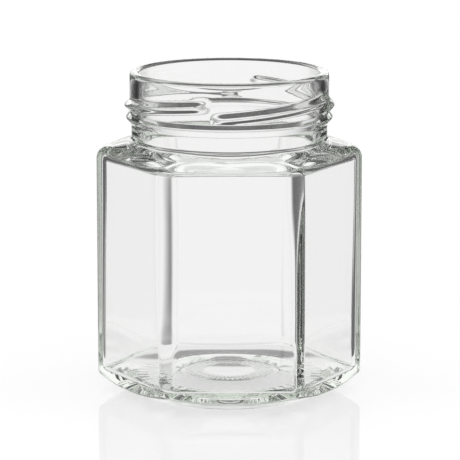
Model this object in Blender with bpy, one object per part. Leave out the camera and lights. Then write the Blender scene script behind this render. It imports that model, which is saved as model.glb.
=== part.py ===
"""Hexagonal glass jar with a round screw neck, empty and open at the top.

The whole jar is one piece of glass. Its body is a hexagonal prism with rounded
upright edges, it stands on a round ring, and a low shoulder carries it over into
a round neck with a bead ring, four short threads and a rounded rim.

The solid is a loft between unlike sections: for each direction around the axis,
cut_outline gives the edge of the glass as a vertical cut would show it, and the
cuts are joined side by side. The threads are tapered rods wound on the neck and
fused to it.

Metres, +Z up. The origin is on the axis at the level the jar stands on, and two
upright edges of the hexagon point along +X and -X, so a flat side faces -Y.
"""

import math

import bmesh
import bpy
from mathutils import Vector

# Body
FLAT_HALF = 0.0348
EDGE_ROUND = 0.0046
WALL = 0.0031

# Foot
BEARING_OUTER = 0.0258
BEARING_INNER = 0.0226
BEARING_ROUND = 0.0022
FOOT_SLOPE = math.radians(21.4)
HEEL_ROUND = 0.0008
PANEL_RADIUS = 0.0150
PANEL_STEP = 0.0003
PUSH_UP = 0.0024

# Shoulder
SHOULDER_LOW_AT_EDGE = 0.0736
SHOULDER_LOW_AT_FLAT = 0.0743
SHOULDER_HIGH = 0.0768
SHOULDER_ROUND = 0.0041
NECK_ROOT_ROUND = 0.0010

# Neck, ring and rim
NECK_RADIUS = 0.0291
RING_RADIUS = 0.0308
RING_LOW = 0.0811
RING_MIDDLE = 0.0832
RING_HIGH = 0.0848
RING_ROUND = 0.0007
LAND_RADIUS = 0.0296
RIM_TOP = 0.0968
RIM_ROUND = 0.00135
BORE_RADIUS = 0.0268
BORE_FOOT_RADIUS = 0.0260

# Inside, where the front right edge is sharper than the others
INNER_EDGE_ROUND = 0.0055
SHARP_EDGE = 5
SHARP_EDGE_ROUND = 0.0020
FLOOR_AT_WALL = 0.0062
FLOOR_AT_AXIS = 0.0071
INNER_HEEL_ROUND = 0.0016
INNER_SHOULDER_LOW = 0.0711
INNER_SHOULDER_HIGH = 0.0729
INNER_SHOULDER_ROUND = 0.0016
BORE_FOOT_ROUND = 0.0014

# Threads
THREADS = 4
THREAD_RADIUS = 0.0015
THREAD_TIP_RADIUS = 0.0004
THREAD_LOW = 0.0862
THREAD_HIGH = 0.0900
THREAD_SWEEP = math.radians(88)
THREAD_TAPER = math.radians(9)
FIRST_THREAD_START = math.radians(-101)
THREAD_POINTS = 25

# Directions sampled each side of an upright edge, up to the middle of a flat side
SIDES = 6
OFF_EDGE = [math.radians(a) for a in (1.6, 3.15, 5.7, 12.0, 20.5)]
HALF_SIDE = math.pi / SIDES


def hexagon_radius(direction, flat_half, edge_round):
    """Distance from the axis to a hexagon with rounded corners, one of them on +X."""
    off_edge = abs((direction + HALF_SIDE) % (2 * HALF_SIDE) - HALF_SIDE)
    centre = (flat_half - edge_round) / math.cos(HALF_SIDE)
    across = edge_round * math.sin(HALF_SIDE)
    along = centre + edge_round * math.cos(HALF_SIDE)
    if off_edge < math.atan2(across, along):
        sideways = centre * math.sin(off_edge)
        return centre * math.cos(off_edge) + math.sqrt(edge_round**2 - sideways**2)
    return flat_half / math.cos(HALF_SIDE - off_edge)


def nearest_edge(direction):
    """Number of the nearest upright edge, counted from the one on +X."""
    return round(direction / (2 * HALF_SIDE)) % SIDES


def edge_share(radius, flat_half, edge_round):
    """0 in the middle of a flat side, 1 on an upright edge."""
    edge_radius = hexagon_radius(0.0, flat_half, edge_round)
    return (radius - flat_half) / (edge_radius - flat_half)


def mix(low, high, share):
    return low + (high - low) * share


def rounded(before, corner, after, radius, steps):
    """Points of the arc that rounds off a corner between two straight runs."""
    back = (before - corner).normalized()
    on = (after - corner).normalized()
    half_angle = back.angle(on) / 2
    centre = corner + (back + on).normalized() * (radius / math.sin(half_angle))
    start = corner + back * (radius / math.tan(half_angle)) - centre
    end = corner + on * (radius / math.tan(half_angle)) - centre
    sweep = start.angle(end)
    points = []
    for step in range(steps + 1):
        share = step / steps
        from_start = math.sin((1 - share) * sweep) / math.sin(sweep)
        from_end = math.sin(share * sweep) / math.sin(sweep)
        points.append(centre + start * from_start + end * from_end)
    return points


def round_off(corners):
    """A path of (radius, height, rounding, steps) corners with each one rounded."""
    places = [Vector(corner[:2]) for corner in corners]
    points = []
    for index, (_, _, rounding, steps) in enumerate(corners):
        if rounding == 0:
            points.append(places[index])
            continue
        before, after = places[index - 1], places[index + 1]
        points += rounded(before, places[index], after, rounding, steps)
    return points


def outside(direction):
    """From the middle panel under the foot, up over shoulder, ring and rim to the bore."""
    wall = hexagon_radius(direction, FLAT_HALF, EDGE_ROUND)
    share = edge_share(wall, FLAT_HALF, EDGE_ROUND)
    heel = (wall - BEARING_OUTER) * math.tan(FOOT_SLOPE)
    shoulder = mix(SHOULDER_LOW_AT_FLAT, SHOULDER_LOW_AT_EDGE, share)
    corners = [
        (PANEL_RADIUS - PANEL_STEP, PUSH_UP, 0, 0),
        (PANEL_RADIUS, PUSH_UP - PANEL_STEP, 0, 0),
        (BEARING_INNER, 0, 0, 0),
        (BEARING_OUTER, 0, BEARING_ROUND, 2),
        (wall, heel, HEEL_ROUND, 3),
        (wall, shoulder, SHOULDER_ROUND, 4),
        (NECK_RADIUS, SHOULDER_HIGH, NECK_ROOT_ROUND, 3),
        (NECK_RADIUS, RING_LOW, 0, 0),
        (RING_RADIUS, RING_MIDDLE, RING_ROUND, 3),
        (LAND_RADIUS, RING_HIGH, 0, 0),
        (LAND_RADIUS, RIM_TOP, RIM_ROUND, 4),
        (BORE_RADIUS, RIM_TOP, RIM_ROUND, 4),
        (BORE_FOOT_RADIUS, INNER_SHOULDER_HIGH, 0, 0),
    ]
    return round_off(corners)[:-1]


def inside(direction):
    """From the foot of the bore down the inner wall and in over the floor."""
    sharp = nearest_edge(direction) == SHARP_EDGE
    edge_round = SHARP_EDGE_ROUND if sharp else INNER_EDGE_ROUND
    wall = hexagon_radius(direction, FLAT_HALF - WALL, edge_round)
    corners = [
        (BORE_RADIUS, RIM_TOP, 0, 0),
        (BORE_FOOT_RADIUS, INNER_SHOULDER_HIGH, BORE_FOOT_ROUND, 3),
        (wall, INNER_SHOULDER_LOW, INNER_SHOULDER_ROUND, 3),
        (wall, FLOOR_AT_WALL, INNER_HEEL_ROUND, 5),
        (PANEL_RADIUS, FLOOR_AT_AXIS, 0, 0),
    ]
    return round_off(corners)[1:]


def cut_outline(direction):
    return outside(direction) + inside(direction)


def directions():
    """Angles around the axis, close together where the upright edges are rounded."""
    offsets = [-a for a in reversed(OFF_EDGE)] + [0.0] + OFF_EDGE + [HALF_SIDE]
    return [2 * HALF_SIDE * side + offset for side in range(SIDES) for offset in offsets]


def mesh_object(name, mesh, collection):
    piece = bpy.data.objects.new(name, mesh)
    collection.objects.link(piece)
    return piece


def glass_body(collection):
    """The jar without its threads: the cuts around the axis joined into one skin."""
    shape = bmesh.new()
    rings = []
    for direction in directions():
        across = Vector((math.cos(direction), math.sin(direction), 0.0))
        cut = cut_outline(direction)
        rings.append([shape.verts.new(across * point.x + Vector((0, 0, point.y))) for point in cut])
    under_middle = shape.verts.new((0.0, 0.0, PUSH_UP))
    floor_middle = shape.verts.new((0.0, 0.0, FLOOR_AT_AXIS))
    for index, ring in enumerate(rings):
        after = rings[(index + 1) % len(rings)]
        shape.faces.new((under_middle, after[0], ring[0]))
        shape.faces.new((floor_middle, ring[-1], after[-1]))
        for low in range(len(ring) - 1):
            shape.faces.new((ring[low], after[low], after[low + 1], ring[low + 1]))
    bmesh.ops.recalc_face_normals(shape, faces=shape.faces)
    mesh = bpy.data.meshes.new("jar")
    shape.to_mesh(mesh)
    shape.free()
    return mesh_object("jar", mesh, collection)


def thread_rod(index, collection):
    """One thread as a closed rod wound on the neck, rising anticlockwise, with thin ends."""
    curve = bpy.data.curves.new(f"thread_{index + 1}", "CURVE")
    curve.dimensions = "3D"
    curve.bevel_depth = THREAD_RADIUS
    curve.bevel_resolution = 2
    curve.use_fill_caps = True
    spline = curve.splines.new("POLY")
    spline.points.add(THREAD_POINTS - 1)
    start = FIRST_THREAD_START - math.pi / 2 + 2 * math.pi * index / THREADS
    for step, point in enumerate(spline.points):
        share = step / (THREAD_POINTS - 1)
        turn = THREAD_SWEEP * share
        from_end = min(turn, THREAD_SWEEP - turn) / THREAD_TAPER
        fullness = math.sin(math.pi / 2 * min(from_end, 1.0))
        height = mix(THREAD_LOW, THREAD_HIGH, share)
        x = LAND_RADIUS * math.cos(start + turn)
        y = LAND_RADIUS * math.sin(start + turn)
        point.co = (x, y, height, 1.0)
        point.radius = mix(THREAD_TIP_RADIUS / THREAD_RADIUS, 1.0, fullness)
    guide = bpy.data.objects.new(curve.name, curve)
    bpy.context.scene.collection.objects.link(guide)
    bpy.context.view_layer.update()
    graph = bpy.context.evaluated_depsgraph_get()
    mesh = bpy.data.meshes.new_from_object(guide.evaluated_get(graph))
    bpy.data.objects.remove(guide, do_unlink=True)
    weld = bmesh.new()
    weld.from_mesh(mesh)
    bmesh.ops.remove_doubles(weld, verts=weld.verts, dist=1e-6)
    bmesh.ops.recalc_face_normals(weld, faces=weld.faces)
    weld.to_mesh(mesh)
    weld.free()
    return mesh_object(curve.name, mesh, collection)


def fuse(body, rods):
    """Joins the rods to the body for good, and removes them."""
    join = body.modifiers.new("threads", "BOOLEAN")
    join.operation = "UNION"
    join.operand_type = "COLLECTION"
    join.collection = rods
    join.solver = "EXACT"
    bpy.context.view_layer.update()
    graph = bpy.context.evaluated_depsgraph_get()
    fused = bpy.data.meshes.new_from_object(body.evaluated_get(graph))
    body.modifiers.clear()
    body.data = fused
    for rod in list(rods.objects):
        bpy.data.objects.remove(rod, do_unlink=True)
    bpy.data.collections.remove(rods)


def clear_glass():
    """Clear glass with a trace of green."""
    material = bpy.data.materials.new("clear_glass")
    material.use_nodes = True
    shader = material.node_tree.nodes["Principled BSDF"]
    shader.inputs["Base Color"].default_value = (0.93, 0.97, 0.95, 1.0)
    shader.inputs["Roughness"].default_value = 0.02
    shader.inputs["IOR"].default_value = 1.52
    shader.inputs["Transmission Weight"].default_value = 1.0
    return material


def main():
    for old in list(bpy.data.objects):
        bpy.data.objects.remove(old, do_unlink=True)
    jar_collection = bpy.data.collections.new("hexagonal_jar")
    rods = bpy.data.collections.new("thread_rods")
    bpy.context.scene.collection.children.link(jar_collection)
    bpy.context.scene.collection.children.link(rods)
    jar = glass_body(jar_collection)
    for index in range(THREADS):
        thread_rod(index, rods)
    fuse(jar, rods)
    jar.data.materials.clear()
    jar.data.materials.append(clear_glass())
    jar.data.shade_smooth()
    jar.data.set_sharp_from_angle(angle=math.radians(35))


main()
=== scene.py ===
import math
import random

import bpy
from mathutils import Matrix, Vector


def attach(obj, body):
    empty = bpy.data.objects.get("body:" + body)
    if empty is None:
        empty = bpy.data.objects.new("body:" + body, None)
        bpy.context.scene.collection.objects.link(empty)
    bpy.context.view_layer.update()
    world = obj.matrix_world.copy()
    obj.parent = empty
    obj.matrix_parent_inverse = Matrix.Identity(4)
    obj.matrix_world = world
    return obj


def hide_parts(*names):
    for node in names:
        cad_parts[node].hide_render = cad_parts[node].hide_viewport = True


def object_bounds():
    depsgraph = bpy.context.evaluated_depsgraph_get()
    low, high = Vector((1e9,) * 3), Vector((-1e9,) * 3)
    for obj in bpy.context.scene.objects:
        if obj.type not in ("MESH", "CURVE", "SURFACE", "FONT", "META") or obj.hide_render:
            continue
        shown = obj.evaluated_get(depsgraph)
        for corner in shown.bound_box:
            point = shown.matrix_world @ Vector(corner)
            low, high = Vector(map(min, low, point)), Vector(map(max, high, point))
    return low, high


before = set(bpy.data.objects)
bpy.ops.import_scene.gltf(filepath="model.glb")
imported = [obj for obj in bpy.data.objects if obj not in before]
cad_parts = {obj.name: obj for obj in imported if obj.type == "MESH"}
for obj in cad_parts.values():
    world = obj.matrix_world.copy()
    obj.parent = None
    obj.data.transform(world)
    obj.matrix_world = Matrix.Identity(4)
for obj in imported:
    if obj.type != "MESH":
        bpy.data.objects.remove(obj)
cad_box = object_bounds()

# %% [markdown]
# # An empty hexagonal glass jar
# The object is one piece of clear glass: a hexagonal body on a round foot, a low shoulder, and a
# round neck with a bead ring, four short threads and a smooth open rim. Glass shows nothing but
# what it bends and mirrors, so this lesson has two halves. The first makes a very even surface, and
# the second builds the small studio whose white and black fields draw the edges of the glass.

MM = 0.001
print("the frame's box in mm:", [[round(x / MM, 2) for x in corner] for corner in cad_box])

# %% [markdown]
# ## Sizes
# A glassmaker draws the jar as a cut through its wall, from the middle of the foot up the outside,
# over the rim and down the inside. These are the sizes of that drawing. They are the real ones,
# in metres, and the height comes from the frame, so the glass ends where the frame ends.

# %% Sizes of the body and the foot
FLAT_HALF = 0.0348
EDGE_ROUND = 0.0046
WALL = 0.0031
INNER_EDGE_ROUND = 0.0055
INNER_EDGE_SWING = 0.0012
SHARP_EDGE = 5
SHARP_EDGE_ROUND = 0.0012
SHARP_EDGE_ROUND_AT_TOP = 0.0050
INNER_WALL_LOW = 0.012
INNER_WALL_HIGH = 0.070
BEARING_OUTER = 0.0258
BEARING_INNER = 0.0226
BEARING_ROUND = 0.0022
FOOT_SLOPE = math.radians(21.4)
HEEL_ROUND = 0.0008
PANEL_RADIUS = 0.0150
PANEL_STEP = 0.0003
PUSH_UP = 0.0024
FLOOR_AT_WALL = 0.0062
FLOOR_AT_AXIS = 0.0071
INNER_HEEL_ROUND = 0.0016
AXIS_RING = 0.0015

# %% Sizes of the shoulder, the neck and the rim
SHOULDER_LOW_AT_EDGE = 0.0736
SHOULDER_LOW_AT_FLAT = 0.0743
SHOULDER_HIGH = 0.0768
SHOULDER_ROUND = 0.0041
NECK_ROOT_ROUND = 0.0010
NECK_RADIUS = 0.0291
RING_LOW = 0.0811
RING_MIDDLE = 0.0832
RING_HIGH = 0.0848
RING_RADIUS = 0.0308
RING_ROUND = 0.0007
LAND_RADIUS = 0.0296
RIM_TOP = cad_box[1].z
RIM_ROUND = 0.00135
RIM_INNER_ROUND = 0.00135
BORE_RADIUS = 0.0268
BORE_FOOT_RADIUS = 0.0260
BORE_SWELL = 0.0004
INNER_SHOULDER_LOW = 0.0711
INNER_SHOULDER_HIGH = 0.0729
INNER_SHOULDER_ROUND = 0.0016
BORE_FOOT_ROUND = 0.0014
SMALL_ROUND = 0.0004
print("rim at", round(RIM_TOP / MM, 2), "mm; rim wall", round((LAND_RADIUS - BORE_RADIUS) / MM, 2), "mm")

# %% [markdown]
# ## The outline in one direction
# The body is a hexagon and the neck is round, so no single turned profile fits both. Instead, one
# function gives the cut's outline for any direction around the axis: the wall's distance follows a
# hexagon with rounded corners, and everything round keeps its radius. Each corner of the outline
# has its own rounding and its own number of steps, so that every direction gives the same count of
# points and neighbouring cuts can be joined.

# %% The hexagon's distance from the axis
SIDES = 6
HALF_SIDE = math.pi / SIDES


def nearest_edge(direction):
    """Number of the nearest upright edge, counted from the one on +X."""
    return round(direction / (2 * HALF_SIDE)) % SIDES


def off_nearest_edge(direction):
    return abs((direction + HALF_SIDE) % (2 * HALF_SIDE) - HALF_SIDE)


def hexagon_radius(direction, flat_half, edge_round):
    """Distance from the axis to a hexagon with rounded corners, one of them on +X."""
    off_edge = off_nearest_edge(direction)
    centre = (flat_half - edge_round) / math.cos(HALF_SIDE)
    across = edge_round * math.sin(HALF_SIDE)
    along = centre + edge_round * math.cos(HALF_SIDE)
    if off_edge < math.atan2(across, along):
        sideways = centre * math.sin(off_edge)
        return centre * math.cos(off_edge) + math.sqrt(edge_round**2 - sideways**2)
    return flat_half / math.cos(HALF_SIDE - off_edge)


for name, direction in {"edge": 0.0, "flat": HALF_SIDE}.items():
    print(name, "at", round(hexagon_radius(direction, FLAT_HALF, EDGE_ROUND) / MM, 2), "mm from the axis")


# %% Rounding a corner of the outline
def mix(low, high, share):
    return low + (high - low) * share


def smooth(share):
    """0 below 0, 1 above 1, and a soft S between."""
    share = min(max(share, 0.0), 1.0)
    return share * share * (3 - 2 * share)


def corner_arc(before, corner, after, radius, steps):
    """Points of the arc that rounds off a corner between two straight runs."""
    back = (before - corner).normalized()
    on = (after - corner).normalized()
    half_angle = back.angle(on) / 2
    centre = corner + (back + on).normalized() * (radius / math.sin(half_angle))
    start = corner + back * (radius / math.tan(half_angle)) - centre
    end = corner + on * (radius / math.tan(half_angle)) - centre
    sweep = start.angle(end)
    points = []
    for step in range(steps + 1):
        share = step / steps
        from_start = math.sin((1 - share) * sweep) / math.sin(sweep)
        from_end = math.sin(share * sweep) / math.sin(sweep)
        points.append(centre + start * from_start + end * from_end)
    return points


def outline_through(corners):
    """A path through (radius, height, rounding, arc steps, steps of the run after it)."""
    places = [Vector(corner[:2]) for corner in corners]
    stretches = []
    for index, (_, _, rounding, arc_steps, _) in enumerate(corners):
        if rounding:
            before, after = places[index - 1], places[index + 1]
            stretches.append(corner_arc(before, places[index], after, rounding, arc_steps))
        else:
            stretches.append([places[index]])
    path = []
    for stretch, following, corner in zip(stretches, stretches[1:] + [None], corners):
        path += stretch
        if following:
            run = corner[4]
            path += [stretch[-1].lerp(following[0], step / (run + 1)) for step in range(1, run + 1)]
    return path


# %% The two halves of the cut
PATTERN_INNER = 0.0074
PATTERN_OUTER = 0.0136
THREAD_ZONE_LOW = 0.0850
THREAD_ZONE_HIGH = 0.0918


def outside(direction):
    """From the middle of the foot, up over heel, shoulder, ring and threads to the rim."""
    wall = hexagon_radius(direction, FLAT_HALF, EDGE_ROUND)
    edge = hexagon_radius(0.0, FLAT_HALF, EDGE_ROUND)
    share = (wall - FLAT_HALF) / (edge - FLAT_HALF)
    heel = (wall - BEARING_OUTER) * math.tan(FOOT_SLOPE)
    shoulder = mix(SHOULDER_LOW_AT_FLAT, SHOULDER_LOW_AT_EDGE, share)
    return [
        (AXIS_RING, PUSH_UP, 0, 0, 1),
        (PATTERN_INNER, PUSH_UP, 0, 0, 15),
        (PATTERN_OUTER, PUSH_UP, 0, 0, 0),
        (PANEL_RADIUS - PANEL_STEP, PUSH_UP, SMALL_ROUND / 2, 2, 0),
        (PANEL_RADIUS, PUSH_UP - PANEL_STEP, SMALL_ROUND / 2, 2, 2),
        (BEARING_INNER, 0, 2 * SMALL_ROUND, 3, 5),
        (BEARING_OUTER, 0, BEARING_ROUND, 5, 6),
        (wall, heel, HEEL_ROUND, 8, 16),
        (wall, shoulder, SHOULDER_ROUND, 12, 5),
        (NECK_RADIUS, SHOULDER_HIGH, NECK_ROOT_ROUND, 7, 2),
        (NECK_RADIUS, RING_LOW, SMALL_ROUND, 3, 0),
        (RING_RADIUS, RING_MIDDLE, RING_ROUND, 8, 0),
        (LAND_RADIUS, RING_HIGH, SMALL_ROUND, 3, 0),
        (LAND_RADIUS, THREAD_ZONE_LOW, 0, 0, 29),
        (LAND_RADIUS, THREAD_ZONE_HIGH, 0, 0, 2),
        (LAND_RADIUS, RIM_TOP, RIM_ROUND, 9, 0),
    ]


def corner_rounding(direction, height):
    """The inner rounding of the nearest upright edge, which changes on the way up."""
    edge = nearest_edge(direction)
    share = (height - INNER_WALL_LOW) / (INNER_WALL_HIGH - INNER_WALL_LOW)
    if edge == SHARP_EDGE:
        return mix(SHARP_EDGE_ROUND, SHARP_EDGE_ROUND_AT_TOP, smooth(2 * share - 1))
    return INNER_EDGE_ROUND + INNER_EDGE_SWING * math.cos(math.pi * share + edge)


def inside(direction):
    """From the rim down the bore and the inner wall, and in over the floor."""
    inner_flat = FLAT_HALF - WALL
    wall_low = hexagon_radius(direction, inner_flat, corner_rounding(direction, INNER_WALL_LOW))
    wall_high = hexagon_radius(direction, inner_flat, corner_rounding(direction, INNER_WALL_HIGH))
    return [
        (BORE_RADIUS, RIM_TOP, RIM_INNER_ROUND, 9, 11),
        (BORE_FOOT_RADIUS, INNER_SHOULDER_HIGH, BORE_FOOT_ROUND, 8, 2),
        (wall_high, INNER_SHOULDER_LOW, INNER_SHOULDER_ROUND, 10, 21),
        (wall_low, FLOOR_AT_WALL, INNER_HEEL_ROUND, 13, 4),
        (PANEL_RADIUS, FLOOR_AT_AXIS, 0, 0, 2),
        (AXIS_RING, FLOOR_AT_AXIS, 0, 0, 0),
    ]


edge_cut = outline_through(outside(0.0) + inside(0.0))
OUTER_ROWS = max(range(len(edge_cut)), key=lambda row: edge_cut[row].y)
print(len(edge_cut), "points in a cut,", OUTER_ROWS, "of them outside")

# %% [markdown]
# ## Threads
# A lid's lugs run under four short raised threads. Each one climbs a little as it goes round, and
# both ends fade out within a few degrees. They could be rods fused to the neck, but a join leaves
# a hard crease that glass from a mould hasn't got. Here the neck's own radius swells where a
# thread passes, as a soft ridge over the distance from the thread's middle line.

# %% The threads' ridge
THREADS = 4
THREAD_RISE = 0.00155
THREAD_HALF_WIDTH = 0.0021
THREAD_LOW = 0.0862
THREAD_HIGH = 0.0900
THREAD_SWEEP = math.radians(88)
THREAD_TAPER = math.radians(9)
FIRST_THREAD_START = math.radians(-101) - math.pi / 2


def thread_ridge(direction, height):
    """How far the glass stands out over the neck at this place."""
    turn = (direction - FIRST_THREAD_START) % (2 * math.pi / THREADS)
    if turn > THREAD_SWEEP:
        return 0.0
    middle = mix(THREAD_LOW, THREAD_HIGH, turn / THREAD_SWEEP)
    off_middle = abs(height - middle) / THREAD_HALF_WIDTH
    if off_middle >= 1:
        return 0.0
    fullness = math.sin(math.pi / 2 * min(min(turn, THREAD_SWEEP - turn) / THREAD_TAPER, 1.0))
    return THREAD_RISE * fullness * math.cos(math.pi / 2 * off_middle) ** 2


# %% [markdown]
# ## Patterns under the foot
# Moulds leave a fine knurl on the ring that the jar stands on, which keeps the hot glass from
# cracking on the belt. The sunk middle panel carries a plain diamond knurl. Both could be painted
# with a bump, but they are real relief here, because the glass above them works as a lens.

# %% Relief of the foot
GROOVES = 48
GROOVE_DEPTH = 0.00006
GROOVE_FADE = 3
DIAMONDS = 24
DIAMOND_REACH = 0.0022
RIB_RISE = 0.0004
RIB_HALF_WIDTH = 0.00055


def bearing_groove(direction, radius):
    """Grooves across the ring that the jar stands on."""
    middle = (BEARING_INNER + BEARING_OUTER) / 2
    reach = (BEARING_OUTER - BEARING_INNER) / 2 + SMALL_ROUND
    fade = smooth((1 - abs(radius - middle) / reach) * GROOVE_FADE)
    return GROOVE_DEPTH * fade * (0.5 + 0.5 * math.cos(GROOVES * direction))


def diamond_rib(direction, radius):
    """Two zigzag ribs that cross each other around the middle panel."""
    middle = (PATTERN_INNER + PATTERN_OUTER) / 2
    swing = math.asin(math.sin(DIAMONDS * direction)) / (math.pi / 2) * DIAMOND_REACH
    off_rib = min(abs(radius - middle - swing), abs(radius - middle + swing))
    return RIB_RISE * smooth(1 - off_rib / RIB_HALF_WIDTH)


# %% [markdown]
# ## Waves of pressed glass
# The outside takes the mould's shape, but the inside is formed by air and stays a little uneven,
# most of all in the corners. So the rounding of each inner corner changes slowly on the way up,
# one corner is sharper than the rest, and a few faint waves are added to the flat inner walls.
# Without them the edges would look ruled, and with stronger ones the flat sides would look like
# old window glass.

# %% Slow waves of the inner wall
WAVE_SEED = 11
WAVES = 6
WAVES_AROUND = [2, 3, 5, 7]
LEAST_WAVES_UP = 60
MOST_WAVES_UP = 160
LAST_PHASE = 6.28
FLAT_WAVE = 0.00004
WAVES_LOW = 0.010
WAVES_HIGH = 0.0675
WAVES_FADE = 0.008
chance = random.Random(WAVE_SEED)
flat_waves = []
for _ in range(WAVES):
    around = chance.choice(WAVES_AROUND)
    upward = chance.uniform(LEAST_WAVES_UP, MOST_WAVES_UP)
    flat_waves.append((around, upward, chance.uniform(0, LAST_PHASE)))
print("waves round the jar:", [wave[0] for wave in flat_waves])


def bore_swell(height):
    """How much wider the bore is between its foot and the rim."""
    low, high = INNER_SHOULDER_HIGH + BORE_FOOT_ROUND, RIM_TOP - RIM_INNER_ROUND
    share = min(max((height - low) / (high - low), 0.0), 1.0)
    return BORE_SWELL * math.sin(math.pi * share) ** 2


def inner_wall(direction, radius, height):
    """The inner wall's distance from the axis with its waves, faded out at both ends."""
    fade = smooth((height - WAVES_LOW) / WAVES_FADE) * smooth((WAVES_HIGH - height) / WAVES_FADE)
    shift = sum(math.sin(n * direction + up * height + phase) for n, up, phase in flat_waves)
    waved = hexagon_radius(direction, FLAT_HALF - WALL, corner_rounding(direction, height))
    return mix(radius, waved + FLAT_WAVE * shift / 2, fade)


# %% [markdown]
# ## The skin of the glass
# The cuts are now joined all round the axis. Light that passes a rounded edge is bent by the
# slope between two points, so the directions are crowded together at the six edges and spread out
# over the flat sides. Two small fans close the skin at the axis, above and below the floor.

# %% Directions around the axis
STEPS_AT_EDGE = 17
STEPS_ON_FLAT = 15
EDGE_REACH = math.radians(6.5)


def directions():
    """Angles round the axis, crowded near the upright edges."""
    near = [EDGE_REACH * step / STEPS_AT_EDGE for step in range(STEPS_AT_EDGE + 1)]
    far = [mix(EDGE_REACH, HALF_SIDE, step / STEPS_ON_FLAT) for step in range(1, STEPS_ON_FLAT + 1)]
    half = near + far
    offsets = [-off for off in reversed(half[1:-1])] + half
    return [2 * HALF_SIDE * side + offset for side in range(SIDES) for offset in offsets]


print(len(directions()), "directions")


# %% A point of the finished surface
BORE_MARGIN = 2 * MM


def finished(direction, row, radius, height):
    """Adds threads, foot patterns and waves to a point of the plain cut."""
    outer = row < OUTER_ROWS
    if outer and THREAD_ZONE_LOW <= height <= THREAD_ZONE_HIGH:
        radius += thread_ridge(direction, height)
    elif outer and radius < PATTERN_OUTER + RIB_HALF_WIDTH and height > PUSH_UP / 2:
        height -= diamond_rib(direction, radius)
    elif outer and height < GROOVE_DEPTH and radius < BEARING_OUTER + BEARING_ROUND:
        height += bearing_groove(direction, radius)
    elif not outer and FLOOR_AT_AXIS < height < INNER_SHOULDER_HIGH and radius > BORE_RADIUS + BORE_MARGIN:
        radius = inner_wall(direction, radius, height)
    elif not outer and height > INNER_SHOULDER_HIGH:
        radius += bore_swell(height)
    return (radius * math.cos(direction), radius * math.sin(direction), height)


# %% Joining the cuts into one closed skin
def glass_skin():
    """One closed mesh from all the cuts."""
    points, faces = [], []
    around = directions()
    for direction in around:
        cut = outline_through(outside(direction) + inside(direction))
        points += [finished(direction, row, p.x, p.y) for row, p in enumerate(cut)]
    rows = len(points) // len(around)
    under_middle, floor_middle = len(points), len(points) + 1
    points += [(0, 0, PUSH_UP), (0, 0, FLOOR_AT_AXIS)]
    for index in range(len(around)):
        here, after = index * rows, (index + 1) % len(around) * rows
        faces.append((under_middle, after, here))
        faces.append((floor_middle, here + rows - 1, after + rows - 1))
        faces += [(here + r, after + r, after + r + 1, here + r + 1) for r in range(rows - 1)]
    mesh = bpy.data.meshes.new("jar_glass")
    mesh.from_pydata(points, [], faces)
    mesh.validate()
    mesh.shade_smooth()
    piece = bpy.data.objects.new("jar_glass", mesh)
    bpy.context.scene.collection.objects.link(piece)
    return piece


jar = glass_skin()
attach(jar, "root")
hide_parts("jar")
triangles = sum(len(face.vertices) - 2 for face in jar.data.polygons)
print("glass:", len(jar.data.vertices), "points,", triangles, "triangles")

# %% [markdown]
# ## The glass
# Clear soda-lime glass bends light by 1.52 and hides its colour until the light has passed through
# a lot of it. So the colour isn't painted on the surface. It is a pale green absorption inside the
# volume, which shows in the thick corners and not in the thin sides. The skin is fire polished:
# a very faint ripple and hardly any roughness.

# %% Clear glass with a trace of green
GLASS_IOR = 1.52
GREEN = (0.83, 0.94, 0.78, 1.0)
GREEN_DENSITY = 6.0
RIPPLES_PER_METRE = 85.0
RIPPLE_DETAIL = 1.0
RIPPLE_STRENGTH = 0.5
RIPPLE_HEIGHT = 0.00001
LEAST_POLISHED = 0.012


def clear_glass():
    material = bpy.data.materials.new("clear_glass")
    material.use_nodes = True
    nodes, links = material.node_tree.nodes, material.node_tree.links
    shader = nodes["Principled BSDF"]
    shader.inputs["Base Color"].default_value = (1.0, 1.0, 1.0, 1.0)
    shader.inputs["IOR"].default_value = GLASS_IOR
    shader.inputs["Transmission Weight"].default_value = 1.0
    place = nodes.new("ShaderNodeTexCoord")
    ripple = nodes.new("ShaderNodeTexNoise")
    ripple.inputs["Scale"].default_value = RIPPLES_PER_METRE
    ripple.inputs["Detail"].default_value = RIPPLE_DETAIL
    relief = nodes.new("ShaderNodeBump")
    relief.inputs["Strength"].default_value = RIPPLE_STRENGTH
    relief.inputs["Distance"].default_value = RIPPLE_HEIGHT
    polish = nodes.new("ShaderNodeMapRange")
    polish.inputs["To Min"].default_value = 0.0
    polish.inputs["To Max"].default_value = LEAST_POLISHED
    green = nodes.new("ShaderNodeVolumeAbsorption")
    green.inputs["Color"].default_value = GREEN
    green.inputs["Density"].default_value = GREEN_DENSITY
    links.new(place.outputs["Object"], ripple.inputs["Vector"])
    links.new(ripple.outputs["Fac"], relief.inputs["Height"])
    links.new(relief.outputs["Normal"], shader.inputs["Normal"])
    links.new(ripple.outputs["Fac"], polish.inputs["Value"])
    links.new(polish.outputs["Result"], shader.inputs["Roughness"])
    links.new(green.outputs["Volume"], nodes["Material Output"].inputs["Volume"])
    return material


jar.data.materials.append(clear_glass())
print("glass bends light by", GLASS_IOR)

# %% [markdown]
# ## The table
# The jar stands on a plain white table, bright all over, with a faint mirror image of the glass in
# it. One sheet could do both jobs, but then the glass has nothing dark to bend into its edges. So
# two thin sheets make it. The upper one is what the camera sees: matt white that also glows, so
# that it stays white close to the foot, under a weak mirror. The lower one is what the glass looks
# down at: a round of paper that glows by itself. A Layer Weight node makes its glow bright along
# its face and dark from above, to darken the outlines of the rim, the threads and the bead ring.
# This only stands in for gloss. A glossy shader under the lights would be the proper way. A soft
# shade lies behind the foot, and further out the glass looks past the table into the studio.

# %% The upper sheet, which the camera sees
TABLE_MATT = 0.40
TABLE_GLOW = 0.67
TABLE_MIRROR = 0.10
TABLE_MIRROR_ROUGHNESS = 0.05


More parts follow.
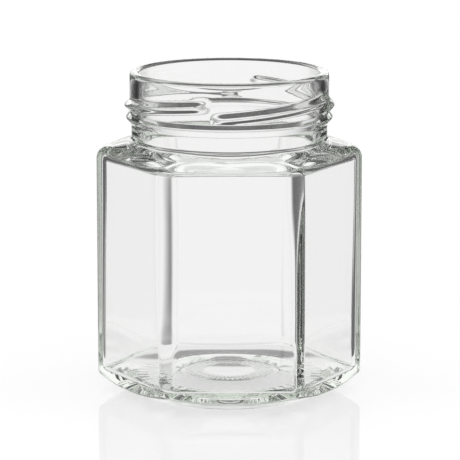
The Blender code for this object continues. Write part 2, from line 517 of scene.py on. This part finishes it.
def bare_material(name):
    """A new material with nothing but its output node."""
    material = bpy.data.materials.new(name)
    material.use_nodes = True
    material.node_tree.nodes.remove(material.node_tree.nodes["Principled BSDF"])
    return material, material.node_tree


def white_table():
    material, tree = bare_material("white_table")
    nodes, links = tree.nodes, tree.links
    matt = nodes.new("ShaderNodeBsdfDiffuse")
    matt.inputs["Color"].default_value = (TABLE_MATT, TABLE_MATT, TABLE_MATT, 1.0)
    glow = nodes.new("ShaderNodeEmission")
    glow.inputs["Strength"].default_value = TABLE_GLOW
    both = nodes.new("ShaderNodeAddShader")
    mirror = nodes.new("ShaderNodeBsdfGlossy")
    mirror.inputs["Roughness"].default_value = TABLE_MIRROR_ROUGHNESS
    blend = nodes.new("ShaderNodeMixShader")
    blend.inputs["Fac"].default_value = TABLE_MIRROR
    links.new(matt.outputs[0], both.inputs[0])
    links.new(glow.outputs[0], both.inputs[1])
    links.new(both.outputs[0], blend.inputs[1])
    links.new(mirror.outputs[0], blend.inputs[2])
    links.new(blend.outputs[0], nodes["Material Output"].inputs["Surface"])
    return material


print("the table mirrors", TABLE_MIRROR, "of the light")

# %% [markdown]
# ## Nodes that work with numbers
# The lower sheet and the surroundings are worked out from places and directions, by chains of small
# number nodes. Laying each node by hand takes six lines and hides the sum. Three helpers lay a node
# and hand back its output, and one more links or sets a socket, so the chains below read like sums.

# %% Helpers for number nodes
GIVES_A_NUMBER = {"DOT_PRODUCT", "DISTANCE", "LENGTH"}


def link_or_set(tree, socket, value):
    """Joins a socket to another node's output, or sets its plain value."""
    if isinstance(value, bpy.types.NodeSocket):
        tree.links.new(value, socket)
    else:
        socket.default_value = value


def worked_out(tree, kind, operation, *values):
    node = tree.nodes.new(kind)
    node.operation = operation
    for socket, value in zip(node.inputs, values):
        link_or_set(tree, socket, value)
    return node.outputs["Value" if operation in GIVES_A_NUMBER else 0]


def ranged(tree, value, from_low, from_high, to_low=0.0, to_high=1.0, kind="SMOOTHSTEP"):
    node = tree.nodes.new("ShaderNodeMapRange")
    node.interpolation_type = kind
    link_or_set(tree, node.inputs["Value"], value)
    link_or_set(tree, node.inputs["From Min"], from_low)
    link_or_set(tree, node.inputs["From Max"], from_high)
    link_or_set(tree, node.inputs["To Min"], to_low)
    link_or_set(tree, node.inputs["To Max"], to_high)
    return node.outputs["Result"]


def blended(tree, share, low, high):
    node = tree.nodes.new("ShaderNodeMix")
    link_or_set(tree, node.inputs["Factor"], share)
    link_or_set(tree, node.inputs["A"], low)
    link_or_set(tree, node.inputs["B"], high)
    return node.outputs["Result"]


# %% The lower sheet, which the glass sees
PAPER_LIGHT = 0.92
PAPER_LIGHT_FROM_ABOVE = 0.15
PAPER_LIGHT_UNDER_JAR = 0.78
UNDER_JAR_INNER = 0.052
UNDER_JAR_OUTER = 0.063
FACING_STEEP = 0.42
FACING_FLAT = 0.60
SHADE_LIGHT = 0.0
SHADE_INNER = 0.006
SHADE_OUTER = 0.009
SHADE_BACK = 0.023
SHADE_NARROWING = 0.30


def shaded_paper():
    """Paper whose glow follows the angle of the ray, with a wide soft shade behind the foot."""
    material, tree = bare_material("shaded_paper")
    place = tree.nodes.new("ShaderNodeTexCoord").outputs["Object"]
    slant = tree.nodes.new("ShaderNodeLayerWeight").outputs["Facing"]
    off_axis = worked_out(tree, "ShaderNodeVectorMath", "LENGTH", place)
    lights = (PAPER_LIGHT_UNDER_JAR, PAPER_LIGHT_FROM_ABOVE)
    from_above = ranged(tree, off_axis, UNDER_JAR_INNER, UNDER_JAR_OUTER, *lights)
    lit = ranged(tree, slant, FACING_STEEP, FACING_FLAT, from_above, PAPER_LIGHT, "LINEAR")
    squeeze = (SHADE_NARROWING, 1.0, 1.0)
    squeezed = worked_out(tree, "ShaderNodeVectorMath", "MULTIPLY", place, squeeze)
    behind = (0.0, SHADE_BACK, 0.0)
    off_shade = worked_out(tree, "ShaderNodeVectorMath", "DISTANCE", squeezed, behind)
    light = ranged(tree, off_shade, SHADE_INNER, SHADE_OUTER, SHADE_LIGHT, lit)
    glow = tree.nodes.new("ShaderNodeEmission")
    tree.links.new(light, glow.inputs["Strength"])
    tree.links.new(glow.outputs[0], tree.nodes["Material Output"].inputs["Surface"])
    return material


print("shade behind the foot reaches", round(SHADE_OUTER / SHADE_NARROWING / MM), "mm to each side")

# %% Laying the two sheets
TABLE_HALF = 6.0
PAPER_RADIUS = 0.075
TABLE_GAP = 0.0002
ROUND_CORNERS = 96


def flat_round(name, radius, height, material):
    turns = [2 * math.pi * corner / ROUND_CORNERS for corner in range(ROUND_CORNERS)]
    corners = [(radius * math.cos(turn), radius * math.sin(turn), 0) for turn in turns]
    mesh = bpy.data.meshes.new(name)
    mesh.from_pydata(corners, [], [range(ROUND_CORNERS)])
    mesh.materials.append(material)
    piece = bpy.data.objects.new(name, mesh)
    piece.location.z = height
    bpy.context.scene.collection.objects.link(piece)
    return piece


table_top = flat_round("table_top", TABLE_HALF, -TABLE_GAP, white_table())
table_top.visible_transmission = False
table_top.visible_glossy = False
table_top.visible_diffuse = False
table_top.visible_shadow = False
paper = flat_round("paper", PAPER_RADIUS, -2 * TABLE_GAP, shaded_paper())
paper.visible_camera = False
print("table top at", table_top.location.z, "m")

# %% [markdown]
# ## White boards and dark gaps
# White glass on a white ground would vanish. What draws it is the dark between the lights: the
# flat sides look straight on at a white board, and the rounded edges bend their view so far aside
# that they look past the board into the dark gap beside it, and further out at pale side boards.
# The studio is a list of fields, each with the way it lies in, its half width and the heights
# between which it stands, all in degrees. They are laid over each other like paper. Most of the
# numbers are rounded from fits to the photo's bands of light, and some were then changed. The
# last field is seen only in mirror images, because the table's would otherwise be too dull. What
# the camera sees past the table's far edge is a plain white backdrop.

# %% White boards, dark gaps and pale sides
ALL_ROUND = 180
MIRROR_FIELD = "sheen on the table"
BACKDROP_LIGHT = 1.0
SIDE_LIGHT = 0.68
FIELDS = [
    {"name": "high sides", "way": 90, "half": ALL_ROUND, "low": 16, "high": 52, "soft": 8, "light": 1.0},
    {"name": "overhead", "way": 90, "half": ALL_ROUND, "low": 52, "high": 90, "soft": 8, "light": 0.72},
    {"name": "dark gap", "way": 90, "half": 50, "low": -90, "high": 48, "soft": 8, "light": 0.04},
    {"name": "low side board", "way": 135, "half": 24, "low": -31, "high": -18, "soft": 5, "light": 0.75},
    {"name": "ceiling", "way": 90, "half": 15, "low": 32, "high": 90, "soft": 4, "light": 0.93},
    {"name": "white board", "way": 90, "half": 14, "low": -27, "high": 16, "soft": 8, "light": 0.93},
    {"name": MIRROR_FIELD, "way": 90, "half": 24, "low": 3, "high": 19, "soft": 3, "light": 1.8},
]


def field_share(tree, field, around, rise):
    """1 inside a field and 0 outside it, with soft edges."""
    low, high, soft, way, half = (math.radians(field[key]) for key in ("low", "high", "soft", "way", "half"))
    above_low = ranged(tree, rise, low - soft / 2, low + soft / 2)
    below_high = ranged(tree, rise, high + soft / 2, high - soft / 2)
    share = worked_out(tree, "ShaderNodeMath", "MULTIPLY", above_low, below_high)
    if field["half"] == ALL_ROUND:
        return share
    middle = (math.cos(way), math.sin(way), 0.0)
    toward = worked_out(tree, "ShaderNodeVectorMath", "DOT_PRODUCT", around, middle)
    beside = ranged(tree, toward, math.cos(half + soft / 2), math.cos(half - soft / 2))
    return worked_out(tree, "ShaderNodeMath", "MULTIPLY", share, beside)


def white_surroundings():
    """The studio as a world: the fields painted over each other in turn."""
    world = bpy.data.worlds.new("white_studio")
    world.use_nodes = True
    tree = world.node_tree
    looking = tree.nodes.new("ShaderNodeTexCoord").outputs["Generated"]
    level = worked_out(tree, "ShaderNodeVectorMath", "MULTIPLY", looking, (1.0, 1.0, 0.0))
    around = worked_out(tree, "ShaderNodeVectorMath", "NORMALIZE", level)
    upward = worked_out(tree, "ShaderNodeVectorMath", "DOT_PRODUCT", looking, (0.0, 0.0, 1.0))
    rise = worked_out(tree, "ShaderNodeMath", "ARCSINE", upward)
    ray = tree.nodes.new("ShaderNodeLightPath").outputs
    not_through = worked_out(tree, "ShaderNodeMath", "SUBTRACT", 1.0, ray["Is Transmission Ray"])
    mirrored = worked_out(tree, "ShaderNodeMath", "MULTIPLY", ray["Is Glossy Ray"], not_through)
    light = SIDE_LIGHT
    for field in FIELDS:
        share = field_share(tree, field, around, rise)
        if field["name"] == MIRROR_FIELD:
            share = worked_out(tree, "ShaderNodeMath", "MULTIPLY", share, mirrored)
        light = blended(tree, share, light, field["light"])
    light = blended(tree, ray["Is Camera Ray"], light, BACKDROP_LIGHT)
    tree.nodes["Background"].inputs["Color"].default_value = (1.0, 1.0, 1.0, 1.0)
    tree.links.new(light, tree.nodes["Background"].inputs["Strength"])
    bpy.context.scene.world = world


white_surroundings()
print(len(FIELDS), "fields of light")

# %% [markdown]
# ## The camera
# A long lens from a little above keeps the upright edges parallel, as in a catalogue picture.

# %% Camera
CAMERA_DISTANCE = 0.8605
CAMERA_HEIGHT = 0.2141
CAMERA_DROP = math.radians(10.882)
CAMERA_TURN = math.radians(-1.091)
FRAME_SHIFT = 0.00147
LENS = 229.56
SENSOR_WIDTH = 36.0
NEAREST = 0.01
FARTHEST = 50.0


def camera():
    data = bpy.data.cameras.new("camera")
    data.lens = LENS
    data.sensor_width = SENSOR_WIDTH
    data.shift_x = FRAME_SHIFT
    data.clip_start = NEAREST
    data.clip_end = FARTHEST
    view = bpy.data.objects.new("camera", data)
    x = CAMERA_DISTANCE * math.sin(CAMERA_TURN)
    y = -CAMERA_DISTANCE * math.cos(CAMERA_TURN)
    view.location = (x, y, CAMERA_HEIGHT)
    view.rotation_euler = (math.pi / 2 - CAMERA_DROP, 0.0, CAMERA_TURN)
    bpy.context.scene.collection.objects.link(view)
    bpy.context.scene.camera = view
    return view


print("camera at", [round(x, 4) for x in camera().location])

# %% [markdown]
# ## How the light is followed
# A ray that enters a corner of the jar is mirrored inside the glass many times. With too few
# bounces those places turn black, so the limits are raised. The picture keeps plain tones: white
# stays white.

# %% Bounces and tones
scene = bpy.context.scene
scene.cycles.max_bounces = 40
scene.cycles.transmission_bounces = 40
scene.cycles.glossy_bounces = 20
scene.cycles.diffuse_bounces = 3
scene.cycles.sample_clamp_indirect = 0.0
scene.view_settings.view_transform = "Standard"
scene.view_settings.look = "None"
